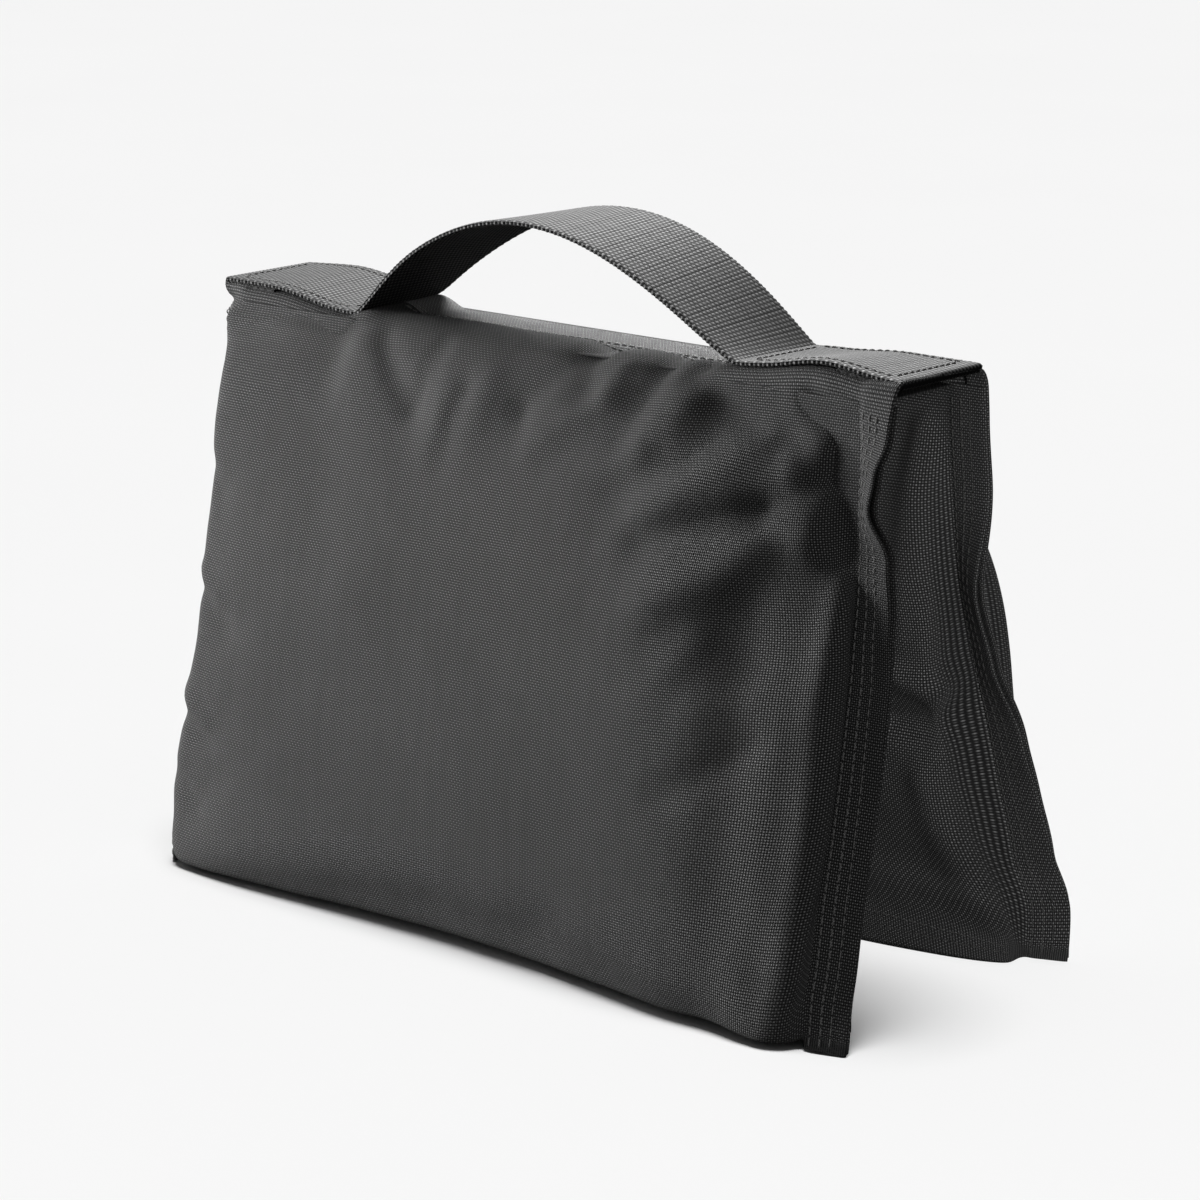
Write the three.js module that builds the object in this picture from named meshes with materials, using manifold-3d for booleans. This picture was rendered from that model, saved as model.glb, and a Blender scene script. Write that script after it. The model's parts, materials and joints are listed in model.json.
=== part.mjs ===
// Saddle sandbag for weighing down light stands: two flat pouches of sand joined by a fabric
// bridge, with a webbing handle arched over the bridge. Millimetres, +Z up, +X along the bag's
// length, +Y towards the back pouch. The bag stands astride on its two feet.

import * as THREE from 'three';
import { mergeVertices } from 'three/addons/utils/BufferGeometryUtils.js';
import Module from 'manifold-3d';

const wasm = await Module();
wasm.setup();

// ---- Driving dimensions ----

const BAG_LENGTH = 370;
const FLANGE = 18; // width of the standing side seams
const FABRIC = 1.0; // one panel, with its coating
const HEM = 1.6; // a panel where its edge is turned under, on the flanges
const GAP = 0.3; // between pieces that lie on each other
const PLY_GAP = 0.4; // between the two panels of a flange

const WEB_WIDTH = 50; // two inch webbing
const WEB_THICK = 1.8;
const TAB_START = 104; // where the strap leaves the bridge, from mid length
const FOLD_UNDER = 30; // strap end folded under itself
const ARCH_RISE = 45;
const ARCH_POWER = 1.1; // 1 is a parabola; more gives straighter legs
const HANDLE_HALF = 77.5; // half length of the stretch that swings
const HANDLE_SLIT = 1.4; // between the swinging stretch and the fixed ends

const BRIDGE_Z = 248.7; // top of the bridge's outer ply
const PLY = 0.8;
const BRIDGE_HALF = 24.4; // half width of the bridge, up to the pouches' hinge lines

const LIP_Z = 246.5; // top edge of the pouches
const LIP_OUT = 26.6;
const FULL_HALF = 60; // half length over which a pouch has its full section
const END_ROUNDING = 0.75;
const HEEL_SHARE = 0.86; // of an outer panel's height, where it starts to turn under
const HEEL_SEAM_SHARE = 0.96; // of the side seam, where the turned-under part joins it

const THREAD_WIDTH = 0.8;
const THREAD_HEIGHT = 0.6;
const FLANGE_ROWS = [6.5, 8.9, 13.6]; // stitch rows, in from the flange's edge
const BOX_INSET = 5; // box stitch, in from the webbing's edges

const HALF = BAG_LENGTH / 2;
const SEAM_X = HALF - FLANGE; // the stitched line where a pouch's room ends
const COLUMNS = 10; // panel mesh steps along the pouch, between its seams
const ROWS = 14; // panel mesh steps from lip to bottom seam

// ---- Materials ----

const NYLON = new THREE.MeshStandardMaterial({ color: 0x3a3a3b, roughness: 0.85, metalness: 0 });
const WEBBING = new THREE.MeshStandardMaterial({ color: 0x454546, roughness: 0.8, metalness: 0 });
const THREAD = new THREE.MeshStandardMaterial({ color: 0x8c8c8c, roughness: 0.7, metalness: 0 });
const LINER = new THREE.MeshStandardMaterial({ color: 0xd8d8d2, roughness: 0.6, metalness: 0 });
const SAND = new THREE.MeshStandardMaterial({ color: 0xc2a878, roughness: 1, metalness: 0 });

// ---- Solids and geometry ----

function toSolid(geometry) {
  const bare = new THREE.BufferGeometry();
  bare.setAttribute('position', geometry.getAttribute('position'));
  bare.setIndex(geometry.index);
  const merged = mergeVertices(bare, 1e-3);
  const mesh = new wasm.Mesh({
    numProp: 3,
    vertProperties: new Float32Array(merged.getAttribute('position').array),
    triVerts: new Uint32Array(merged.index.array),
  });
  return new wasm.Manifold(mesh);
}

function toGeometry(solid) {
  const mesh = solid.getMesh();
  const geometry = new THREE.BufferGeometry();
  geometry.setAttribute('position', new THREE.BufferAttribute(mesh.vertProperties, 3));
  geometry.setIndex(new THREE.BufferAttribute(mesh.triVerts, 1));
  geometry.computeVertexNormals();
  return geometry;
}

const joined = (pieces) =>
  toGeometry(pieces.map(toSolid).reduce((whole, piece) => whole.add(piece)));

const cut = (piece, tool) => toGeometry(toSolid(piece).subtract(toSolid(tool)));

// Turns every face round when a mapping has left them pointing in.
function facingOut(geometry) {
  const position = geometry.getAttribute('position');
  const index = geometry.index;
  const corner = (i) => new THREE.Vector3().fromBufferAttribute(position, index.getX(i));
  let volume = 0;
  for (let i = 0; i < index.count; i += 3) {
    volume += corner(i).dot(corner(i + 1).cross(corner(i + 2)));
  }
  if (volume < 0) {
    for (let i = 0; i < index.count; i += 3) {
      const second = index.getX(i + 1);
      index.setX(i + 1, index.getX(i + 2));
      index.setX(i + 2, second);
    }
  }
  geometry.computeVertexNormals();
  return geometry;
}

// A box's layer 0 face is split along the other diagonals than its layer 1 face. This splits
// both alike, so that sheets lying against each other stay parallel where they twist.
function splitAlike(box) {
  const { start, count } = box.groups[5];
  for (let i = start; i < start + count; i += 6) {
    const [a, b, d, , c] = box.index.array.slice(i, i + 6);
    box.index.array.set([a, b, c, a, c, d], i);
  }
}

// A box of the given steps whose every vertex is placed by place(column, row, layer).
function mappedBox(columns, rows, place) {
  const geometry = new THREE.BoxGeometry(1, 1, 1, columns, rows, 1);
  splitAlike(geometry);
  const position = geometry.getAttribute('position');
  for (let i = 0; i < position.count; i++) {
    const column = Math.round((position.getX(i) + 0.5) * columns);
    const row = Math.round((position.getY(i) + 0.5) * rows);
    const layer = Math.round(position.getZ(i) + 0.5);
    const p = place(column, row, layer);
    position.setXYZ(i, p.x, p.y, p.z);
  }
  return facingOut(geometry);
}

// The line moved sideways, to its left when walked along.
function offsetLine(line, distance) {
  return line.map((point, i) => {
    const before = line[Math.max(i - 1, 0)];
    const after = line[Math.min(i + 1, line.length - 1)];
    const along = after.clone().sub(before).normalize();
    return new THREE.Vector2(point.x - along.y * distance, point.y + along.x * distance);
  });
}

// The closed outline between two offsets of a line.
function band(line, from, to) {
  return new THREE.Shape([...offsetLine(line, from), ...offsetLine(line, to).reverse()]);
}

// A shape drawn in the XZ plane, extruded along Y from y0 to y1.
function alongY(shape, y0, y1) {
  const geometry = new THREE.ExtrudeGeometry(shape, { depth: y1 - y0, bevelEnabled: false });
  return geometry.rotateX(Math.PI / 2).translate(0, y1, 0);
}

// A shape drawn in the YZ plane, extruded along X from x0 to x1.
function alongX(shape, x0, x1) {
  const geometry = new THREE.ExtrudeGeometry(shape, { depth: x1 - x0, bevelEnabled: false });
  const turned = new THREE.Matrix4().set(0, 0, 1, x0, 1, 0, 0, 0, 0, 1, 0, 0, 0, 0, 0, 1);
  return geometry.applyMatrix4(turned);
}

// ---- Pouch sections, drawn as (distance out from the middle of the bridge, height) ----

// Each section has the seam line of its flanges, and the inside faces of its outer and inner
// panels at mid length. The outer panel turns under at the heel and ends at the bottom seam.
const FRONT_SECTION = {
  seam: new THREE.Path().moveTo(LIP_OUT, LIP_Z).lineTo(50, 1.2),
  outer: new THREE.Path()
    .moveTo(LIP_OUT + PLY_GAP / 2, LIP_Z)
    .bezierCurveTo(46, 243, 66, 160, 66, 45)
    .bezierCurveTo(66, 18, 64, FABRIC, 57, FABRIC)
    .lineTo(36, FABRIC),
  inner: new THREE.Path()
    .moveTo(LIP_OUT - PLY_GAP / 2, LIP_Z)
    .bezierCurveTo(22, 225, 17, 190, 18, 140)
    .bezierCurveTo(19, 80, 26, 35, 35.6, 1.9),
};
const BACK_SECTION = {
  seam: new THREE.Path().moveTo(LIP_OUT, LIP_Z).bezierCurveTo(27, 160, 32, 118, 91, 1.4),
  outer: new THREE.Path()
    .moveTo(LIP_OUT + PLY_GAP / 2, LIP_Z)
    .bezierCurveTo(50, 240, 62, 150, 80, 50)
    .bezierCurveTo(85, 22, 86, FABRIC, 76, FABRIC)
    .lineTo(44, FABRIC),
  inner: new THREE.Path()
    .moveTo(LIP_OUT - PLY_GAP / 2, LIP_Z)
    .bezierCurveTo(20, 215, 13, 190, 15, 150)
    .bezierCurveTo(17, 100, 30, 50, 43.4, 1.9),
};

// Mesh rows, closer together towards the lip and the bottom seam.
const rowShare = (row) => (1 - Math.cos((Math.PI * row) / ROWS)) / 2;

// Mesh columns between the seams, closer together towards the seams.
const columnX = (column) => SEAM_X * Math.sin(Math.PI * (column / COLUMNS - 0.5));

// 0 on the side seams and 1 over the middle of the pouch.
function fullness(x) {
  const share = Math.max(0, Math.abs(x) - FULL_HALF) / (SEAM_X - FULL_HALF);
  return share < 1 ? (1 - share * share) ** END_ROUNDING : 0;
}

// Where a point this far down a panel meets the side seam.
function seamShare(panel, u) {
  if (panel === 'inner') return u;
  if (u < HEEL_SHARE) return (u / HEEL_SHARE) * HEEL_SEAM_SHARE;
  return THREE.MathUtils.mapLinear(u, HEEL_SHARE, 1, HEEL_SEAM_SHARE, 1);
}

// The inside face of a panel, and its normal that points away from the sand.
function panelFace(section, panel) {
  const outward = panel === 'outer' ? 1 : -1;
  const point = (x, u) => {
    const share = THREE.MathUtils.clamp(u, 0, 1);
    const seam = section.seam.getPointAt(seamShare(panel, share));
    const along = section.seam.getTangentAt(seamShare(panel, share));
    const full = section[panel].getPointAt(share);
    const w = fullness(x);
    const flatOut = seam.x - (along.y * outward * PLY_GAP) / 2;
    const flatUp = seam.y + (along.x * outward * PLY_GAP) / 2;
    return new THREE.Vector3(
      x,
      THREE.MathUtils.lerp(flatOut, full.x, w),
      THREE.MathUtils.lerp(flatUp, full.y, w)
    );
  };
  const normal = (x, u) => {
    const step = 0.004;
    const down = point(x, u + step).sub(point(x, u - step));
    const sideways = point(x + 1, u).sub(point(x - 1, u));
    return sideways.cross(down).normalize().multiplyScalar(outward);
  };
  return { point, normal };
}

// A panel's cloth: layer 0 is its inside face and layer 1 its outside.
function panelGeometry(section, side, panel) {
  const face = panelFace(section, panel);
  const inside = Array.from({ length: COLUMNS + 1 }, (_, column) => columnX(column));
  const turned = [HALF, HALF - FLANGE + 2];
  const stations = [-turned[0], -turned[1], ...inside, turned[1], turned[0]];
  return mappedBox(stations.length - 1, ROWS, (column, row, layer) => {
    const x = stations[column];
    const u = rowShare(row);
    const thick = Math.abs(x) > SEAM_X + 1 ? HEM : FABRIC;
    const p = face.point(x, u).addScaledVector(face.normal(x, u), layer * thick);
    return new THREE.Vector3(x, side * p.y, Math.max(p.z, 0));
  });
}

// What lies between a pouch's panels, this far inside them, over these columns and rows.
function fillGeometry(section, side, { inset, rows, endInset, mouthRise = 0 }) {
  const faces = [panelFace(section, 'outer'), panelFace(section, 'inner')];
  const columns = [2, 3, 4, 5, 6, 7, 8];
  const last = columns.length - 1;
  return mappedBox(last, rows.length - 1, (column, row, layer) => {
    const towardsMiddle = { 0: endInset, [last]: -endInset }[column] ?? 0;
    const x = columnX(columns[column]) + towardsMiddle;
    const u = rows[row];
    const face = faces[layer];
    const p = face.point(x, u).addScaledVector(face.normal(x, u), -inset);
    return new THREE.Vector3(x, side * p.y, p.z + (row === 0 ? mouthRise : 0));
  });
}

const rowsBetween = (first, final) =>
  Array.from({ length: final - first + 1 }, (_, i) => rowShare(first + i));

function linerGeometry(section, side) {
  const film = 0.4;
  const outside = fillGeometry(section, side, {
    inset: 0.5,
    rows: rowsBetween(2, ROWS - 1),
    endInset: 0,
  });
  const room = fillGeometry(section, side, {
    inset: 0.5 + film,
    rows: [...rowsBetween(2, ROWS - 2), rowShare(ROWS - 1) - 0.003],
    endInset: film,
    mouthRise: 2,
  });
  return cut(outside, room);
}

function sandGeometry(section, side) {
  return fillGeometry(section, side, {
    inset: 1.4,
    rows: [...rowsBetween(3, ROWS - 2), rowShare(ROWS - 1) - 0.007],
    endInset: 1,
  });
}

// Three rows of stitches down one face of a flange, joined end to end by their turns.
function flangeStitches(section, side, end, panel) {
  const line = [];
  for (let row = 1; row < ROWS; row++) {
    const p = section.seam.getPointAt(seamShare(panel, rowShare(row)));
    line.push(new THREE.Vector2(side * p.x, p.y));
  }
  const outward = panel === 'outer' ? 1 : -1;
  const low = outward * side * (PLY_GAP / 2 + HEM + GAP);
  const high = low + outward * side * THREAD_HEIGHT;
  const stretch = (points, from, to) => {
    const x = [end * (HALF - from), end * (HALF - to)];
    return alongX(band(points, low, high), Math.min(...x), Math.max(...x));
  };
  const half = THREAD_WIDTH / 2;
  const rows = FLANGE_ROWS.map((inset) => stretch(line, inset - half, inset + half));
  const turn = (near, far) => [
    near.clone(),
    near.clone().add(far.clone().sub(near).setLength(THREAD_WIDTH)),
  ];
  const [first, middle, last] = FLANGE_ROWS;
  const foot = stretch(turn(line.at(-1), line.at(-2)).reverse(), first - half, middle + half);
  const head = stretch(turn(line[0], line[1]), middle - half, last + half);
  return joined([...rows, foot, head]);
}

// One row of stitches along the inner panel, just above its bottom seam.
function bottomStitches(section, side) {
  const face = panelFace(section, 'inner');
  const u = [0.965, 0.9683];
  return mappedBox(COLUMNS - 2, 1, (column, row, layer) => {
    const x = columnX(column + 1);
    const height = FABRIC + GAP + layer * THREAD_HEIGHT;
    const p = face.point(x, u[row]).addScaledVector(face.normal(x, u[row]), height);
    return new THREE.Vector3(x, side * p.y, p.z);
  });
}

// ---- Webbing strap, drawn in the XZ plane ----

const TAB_Z = BRIDGE_Z + GAP + WEB_THICK / 2; // middle of the strap where it lies on the bridge
const archZ = (x) => TAB_Z + ARCH_RISE * Math.max(0, 1 - (x / TAB_START) ** 2) ** ARCH_POWER;

const archLine = (x0, x1, steps) =>
  Array.from({ length: steps + 1 }, (_, i) => {
    const x = THREE.MathUtils.lerp(x0, x1, i / steps);
    return new THREE.Vector2(x, archZ(x));
  });

// The strap's right end: down the leg of the arch, along the bridge and back under itself.
function strapEndLine() {
  const liftedZ = TAB_Z + WEB_THICK + GAP;
  const foldX = HALF - WEB_THICK;
  const foldStart = HALF - FOLD_UNDER;
  const fold = new THREE.Path()
    .moveTo(foldStart, liftedZ)
    .lineTo(foldX - 1, liftedZ)
    .absarc(foldX - 1, (liftedZ + TAB_Z) / 2, (liftedZ - TAB_Z) / 2, Math.PI / 2, -Math.PI / 2, true)
    .lineTo(foldStart + 4, TAB_Z);
  return [
    ...archLine(HANDLE_HALF + HANDLE_SLIT, TAB_START, 6),
    new THREE.Vector2(foldStart - 12, TAB_Z),
    ...fold.getPoints(6),
  ];
}

// A strap end's line mirrored for the left end, walked so that up stays on the same side.
const mirrored = (line) => line.map((p) => new THREE.Vector2(-p.x, p.y)).reverse();

function strapGeometry(line) {
  return alongY(band(line, -WEB_THICK / 2, WEB_THICK / 2), -WEB_WIDTH / 2, WEB_WIDTH / 2);
}

// A box of stitches through a strap end: two rows along it and one across at each end.
function boxStitches(end) {
  const z = { low: TAB_Z, high: TAB_Z + WEB_THICK + GAP };
  const x = { near: TAB_START + BOX_INSET, far: HALF - BOX_INSET };
  const top = [
    new THREE.Vector2(x.near, z.low),
    new THREE.Vector2(HALF - FOLD_UNDER - 12, z.low),
    new THREE.Vector2(HALF - FOLD_UNDER, z.high),
    new THREE.Vector2(x.far, z.high),
  ];
  const line = end > 0 ? top : mirrored(top);
  const low = WEB_THICK / 2 + GAP;
  const shape = (points) => band(points, low, low + THREAD_HEIGHT);
  const edge = WEB_WIDTH / 2 - BOX_INSET;
  const row = (y) => alongY(shape(line), y - THREAD_WIDTH / 2, y + THREAD_WIDTH / 2);
  const across = (corner, towards) => {
    const next = corner.clone().add(new THREE.Vector2(towards * THREAD_WIDTH, 0));
    const points = towards > 0 ? [corner, next] : [next, corner];
    return alongY(shape(points), -edge, edge);
  };
  return joined([row(-edge), row(edge), across(line[0], 1), across(line[3], -1)]);
}

// ---- Assembly ----

const sandbag = new THREE.Group();

function add(group, name, geometry, material) {
  const mesh = new THREE.Mesh(geometry, material);
  mesh.name = name;
  group.add(mesh);
}

function pouch(name, section, side) {
  const group = new THREE.Group();
  add(group, `${name}_outer_panel`, panelGeometry(section, side, 'outer'), NYLON);
  add(group, `${name}_inner_panel`, panelGeometry(section, side, 'inner'), NYLON);
  add(group, `${name}_liner_bag`, linerGeometry(section, side), LINER);
  add(group, `${name}_sand_fill`, sandGeometry(section, side), SAND);
  add(group, `${name}_bottom_stitches`, bottomStitches(section, side), THREAD);
  for (const [endName, end] of [['left', -1], ['right', 1]]) {
    for (const panel of ['outer', 'inner']) {
      const stitches = flangeStitches(section, side, end, panel);
      add(group, `${name}_${endName}_${panel}_stitches`, stitches, THREAD);
    }
  }
  return group;
}

function bridge() {
  const group = new THREE.Group();
  const ply = () => new THREE.BoxGeometry(BAG_LENGTH, 2 * BRIDGE_HALF, PLY);
  const outerZ = BRIDGE_Z - PLY / 2;
  add(group, 'bridge_outer_ply', ply().translate(0, 0, outerZ), NYLON);
  add(group, 'bridge_inner_ply', ply().translate(0, 0, outerZ - PLY - PLY_GAP), NYLON);
  for (const [name, side] of [['front', -1], ['back', 1]]) {
    const row = new THREE.BoxGeometry(2 * (TAB_START - 6), THREAD_WIDTH, THREAD_HEIGHT);
    row.translate(0, side * (BRIDGE_HALF - 2.4), BRIDGE_Z + GAP + THREAD_HEIGHT / 2);
    add(group, `bridge_${name}_stitches`, row, THREAD);
  }
  return group;
}

function strap() {
  const group = new THREE.Group();
  const endLine = strapEndLine();
  add(group, 'right_strap_end', strapGeometry(endLine), WEBBING);
  add(group, 'left_strap_end', strapGeometry(mirrored(endLine)), WEBBING);
  add(group, 'handle_strap', strapGeometry(archLine(-HANDLE_HALF, HANDLE_HALF, 20)), WEBBING);
  add(group, 'right_box_stitches', boxStitches(1), THREAD);
  add(group, 'left_box_stitches', boxStitches(-1), THREAD);
  return group;
}

sandbag.add(pouch('front', FRONT_SECTION, -1));
sandbag.add(pouch('back', BACK_SECTION, 1));
sandbag.add(bridge());
sandbag.add(strap());

// The origin is on the ground, under the middle of the bag's bounding box.
const extent = new THREE.Box3().setFromObject(sandbag, true);
const middle = extent.getCenter(new THREE.Vector3());
sandbag.position.set(-middle.x, -middle.y, -extent.min.z);

export default sandbag;
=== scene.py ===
import json
import math

import bpy
import numpy as np
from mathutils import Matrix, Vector

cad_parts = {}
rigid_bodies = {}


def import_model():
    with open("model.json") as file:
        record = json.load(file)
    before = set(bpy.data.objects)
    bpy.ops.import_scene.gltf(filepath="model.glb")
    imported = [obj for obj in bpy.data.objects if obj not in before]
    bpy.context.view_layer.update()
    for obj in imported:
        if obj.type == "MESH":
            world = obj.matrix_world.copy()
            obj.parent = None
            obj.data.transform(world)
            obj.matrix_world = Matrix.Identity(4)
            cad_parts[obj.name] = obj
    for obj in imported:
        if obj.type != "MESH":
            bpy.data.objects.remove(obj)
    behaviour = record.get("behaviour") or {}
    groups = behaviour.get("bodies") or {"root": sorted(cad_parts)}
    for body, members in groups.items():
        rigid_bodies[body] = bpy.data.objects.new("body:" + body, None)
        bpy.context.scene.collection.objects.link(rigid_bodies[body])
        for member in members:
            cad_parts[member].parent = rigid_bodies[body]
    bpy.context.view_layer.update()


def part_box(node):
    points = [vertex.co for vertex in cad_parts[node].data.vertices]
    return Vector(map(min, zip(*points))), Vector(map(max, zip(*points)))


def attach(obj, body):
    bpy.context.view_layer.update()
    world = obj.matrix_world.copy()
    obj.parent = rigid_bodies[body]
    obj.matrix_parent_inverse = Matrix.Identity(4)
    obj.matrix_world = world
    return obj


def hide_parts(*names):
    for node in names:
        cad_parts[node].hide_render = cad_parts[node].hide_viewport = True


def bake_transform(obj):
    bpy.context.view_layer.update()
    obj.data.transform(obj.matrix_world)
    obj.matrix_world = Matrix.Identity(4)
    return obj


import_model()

MM = 0.001
SADDLE = "saddle"

# ---------------------------------------------------------------- places from the frame
bridge_low, bridge_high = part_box("bridge_outer_ply")
MID_Y = (bridge_low.y + bridge_high.y) / 2      # the line between the two pouches
TOP_Z = bridge_high.z - 0.5 * MM                # the cloth under the strap ends
HALF_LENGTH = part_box("front_outer_panel")[1].x
FLANGE = 18 * MM                                # from the side seam to the hem's edge
SEAM_X = HALF_LENGTH - FLANGE
STRAP_LOW, STRAP_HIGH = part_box("left_strap_end")
STRAP_HALF = (STRAP_HIGH.y - STRAP_LOW.y) / 2
ARCH_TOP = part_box("handle_strap")[1].z

# ---------------------------------------------------------------- cloth
CLOTH = 0.7 * MM          # thickness of one ply
YARN_ACROSS = 0.88 * MM   # from one yarn to the next
YARN_DOWN = 1.04 * MM
PLY_STEP = 0.95 * MM      # from one ply's middle to the next in the stitched flange
COLUMNS = 84              # across a panel, between its side seams
TOP_ROWS = 9              # from the valley between the pouches to the lip
ROWS = 72                 # from the lip down to the bottom seam
WIDENING = 0.022          # the pouches are this much longer at the bottom than at the top
TAB_START = 104 * MM      # the strap's crease
FLOOR_GAP = 0.5 * MM

# Outlines are (distance out from the middle line, height) in millimetres, each a start
# point followed by Bezier spans of two handles and an end point.
POUCHES = {
    "front": {
        "sign": -1,
        "body": "front_pouch",
        "top": [(0.8, 242.5), (7, 246.0), (18, 250.0), (27.5, 243.0)],
        "outer": [(27.5, 243.0), (39, 234), (67, 170), (69, 45),
                  (71, 20), (74.5, 1.5), (70, 0.9), (60, 0.9), (48, 0.9), (36, 0.9)],
        "inner": [(23.2, 240.0), (22, 225), (17, 190), (18, 140),
                  (19, 80), (26, 35), (35.6, 1.8)],
        "seam": [(27.4, 243.8), (18.0, 195), (36.0, 110), (67, 1.4)],
        # (height, half length that keeps the full section, share that is left at the seam)
        "right_end": [(246, 66, 0.25), (230, 80, 0.06), (205, 80, 0.0), (180, 72, 0.05),
                      (140, 66, 0.06), (60, 84, 0.12),
                      (25, 100, 0.45), (10, 115, 0.80), (2, 115, 0.90)],
        "left_end": [(246, 120, 0.70), (200, 120, 0.85), (60, 120, 0.88), (15, 120, 0.85)],
        # (height, mm that a side seam stands further out along the bag)
        "right_tuck": [(246, 0), (60, 0), (24, 2), (0, 5)],
        "left_tuck": [(246, 0), (242, 6), (236, 16), (226, 17), (200, 10), (155, 3), (105, 1),
                      (75, 5), (40, 9), (15, 6), (0, 2)],
        # mm that the left and right ends stand further out from the middle at the bottom
        "swing": (8, 8),
        # mm that the left and right ends bulge out over their side seams
        "overhang": (3, 15),
        # (height in mm, lean in degrees towards the outer side, gap between the hems in mm)
        "right": [(250, 0, 0.4), (234, 14, 0.5), (218, 34, 0.7), (205, 40, 1.0), (184, 8, 1.4), (160, -6, 1.8),
                  (132, -19, 2.2), (90, -29, 3.6), (55, -34, 3.0), (32, -33, 2.0), (0, -22, 0.8)],
        "left": [(250, -16, 0.4), (244, -28, 0.5), (238, -62, 0.6), (230, -70, 0.8), (165, -70, 1.6),
                 (128, -70, 1.4), (95, -64, 2.2), (55, -72, 1.4), (25, -64, 1.0), (0, -60, 0.8)],
    },
    "back": {
        "sign": 1,
        "body": "back_pouch",
        "top": [(-0.8, 242.5), (6, 243.5), (17, 246.5), (27.5, 241.0)],
        "outer": [(27.5, 241.0), (54, 228), (77, 160), (87, 50),
                  (91, 22), (90, 0.9), (78, 0.9), (66, 0.9), (54, 0.9), (44, 0.9)],
        "inner": [(23.5, 239.5), (20, 215), (13, 190), (15, 150),
                  (17, 100), (30, 50), (43.4, 1.8)],
        "seam": [(27.4, 243.8), (27.4, 160), (72, 85), (73, 1.4)],
        "right_end": [(246, 80, 0.40), (205, 110, 0.75), (150, 120, 0.85), (60, 120, 0.80),
                      (30, 100, 0.40), (12, 80, 0.12)],
        "left_end": [(246, 70, 0.30), (150, 80, 0.40), (60, 100, 0.55), (15, 110, 0.60)],
        "right_tuck": [(246, 0), (80, 0), (45, 2), (22, 8), (0, 7)],
        "left_tuck": [(246, 0), (0, 0)],
        "swing": (0, 0),
        "overhang": (6, 9),
        "right": [(250, 0, 0.4), (232, 4, 0.5), (207, 6, 0.8), (161, -30, 1.2), (135, -23, 1.2),
                  (97, 0, 1.4), (72, 10, 1.4), (45, 20, 1.4), (33, 32, 1.6), (22, 42, 1.8), (12, 42, 2.2),
                  (0, 28, 2.6)],
        "left": [(250, 0, 0.4), (225, 18, 0.6), (190, 34, 1.0), (150, 8, 1.4), (110, -20, 1.6),
                 (70, 10, 1.2), (30, 26, 1.6), (0, 14, 1.0)],
    },
}

# Folds in the cloth: (from x, z, to x, z, half width, lift), in millimetres; a negative lift
# is a hollow.
FOLDS = {
    ("front", "outer"): [
        # fanning out below the left crease of the strap
        (-81, 238, -56, 214, 5, -3.0), (-47, 240, -53, 214, 4, -2.6), (-33, 224, -40, 200, 5, 1.8),
        (-27, 228, -31, 196, 5, -2.4), (-14, 234, -16, 208, 6, 1.6),
        # between the creases
        (24, 244, 4, 222, 6, -3.0), (4, 222, 8, 210, 5, -1.8), (50, 242, 48, 232, 4, 2.4),
        (48, 232, 14, 207, 5, 2.4), (31, 248, 33, 236, 7, -5.0), (68, 244, 59, 218, 7, -4.0),
        (88, 240, 72, 214, 8, 2.0), (72, 214, 36, 200, 7, 2.2), (96, 212, 60, 197, 5, -1.8),
        (86, 247, 88, 243, 5, -3.5),
        # below the right strap end
        (152, 246, 136, 242, 5, 2.0), (144, 240, 161, 229, 6, -5.0), (97, 234, 138, 223, 5, -2.4),
        (127, 224, 80, 196, 8, 3.0), (138, 220, 144, 206, 6, 2.5),
        # the deep fold towards the flange and the hollow where it ends
        (162, 218, 130, 200, 8, -7.5), (130, 200, 80, 181, 7, -6.0), (162, 226, 165, 188, 8, -9.0),
        (152, 190, 90, 160, 9, 3.5), (141, 184, 122, 154, 10, -4.5),
        # lower folds, the trough and the roll beside the flange
        (114, 148, 90, 120, 9, 1.6), (143, 112, 106, 86, 6, -2.0), (141, 128, 117, 121, 7, 1.5),
        (133, 156, 139, 15, 15, -4.0), (166, 172, 171, 24, 6, 3.5),
        # puckers along the left seam
        (-168, 128, -141, 109, 4, -2.0), (-168, 134, -150, 121, 4, 1.8),
        (-168, 178, -156, 166, 4, -1.6), (-174, 71, -152, 58, 4, -2.0),
        (-174, 80, -155, 68, 5, 1.8), (-174, 41, -156, 31, 4, -1.8),
    ],
    ("back", "inner"): [
        (157, 225, 157, 142, 7, 4.5), (144, 131, 170, 121, 6, 6.0), (146, 106, 165, 108, 8, -7.0),
        (160, 84, 170, 40, 8, 4.0),
    ],
}

FLANGE_STEPS = [1.6, 3.6, 6.0, 8.8, 11.6, 14.4, 16.4, 17.5]   # mm out from the seam
HEM_RETURN = [17.5, 15.6, 12.0, 8.2]                          # the turned-in ply
STITCH_ROWS = [2.9, 7.2, 11.3]                                # mm out from the seam

AROUND = 0.10             # light from all round the studio

# ---------------------------------------------------------------- simulation
CUT_EXTRA_ACROSS = 0.035   # the cloth is cut this much longer than the smooth shape
CUT_EXTRA_DOWN = 0.012
PRESSURE = 4.0
SIM_FRAMES = 22
LOW_KEPT = 0.25            # share of the broad swelling that is kept
FOLDS_DEEPER = 1.15
WRINKLE_CAP = 6 * MM
START_RIPPLE = 4 * MM


# ================================================================ small geometry helpers
def smooth(t):
    t = np.clip(t, 0, 1)
    return t * t * (3 - 2 * t)


def bump(x, middle, width):
    return np.exp(-((x - middle) / width) ** 2)


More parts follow.
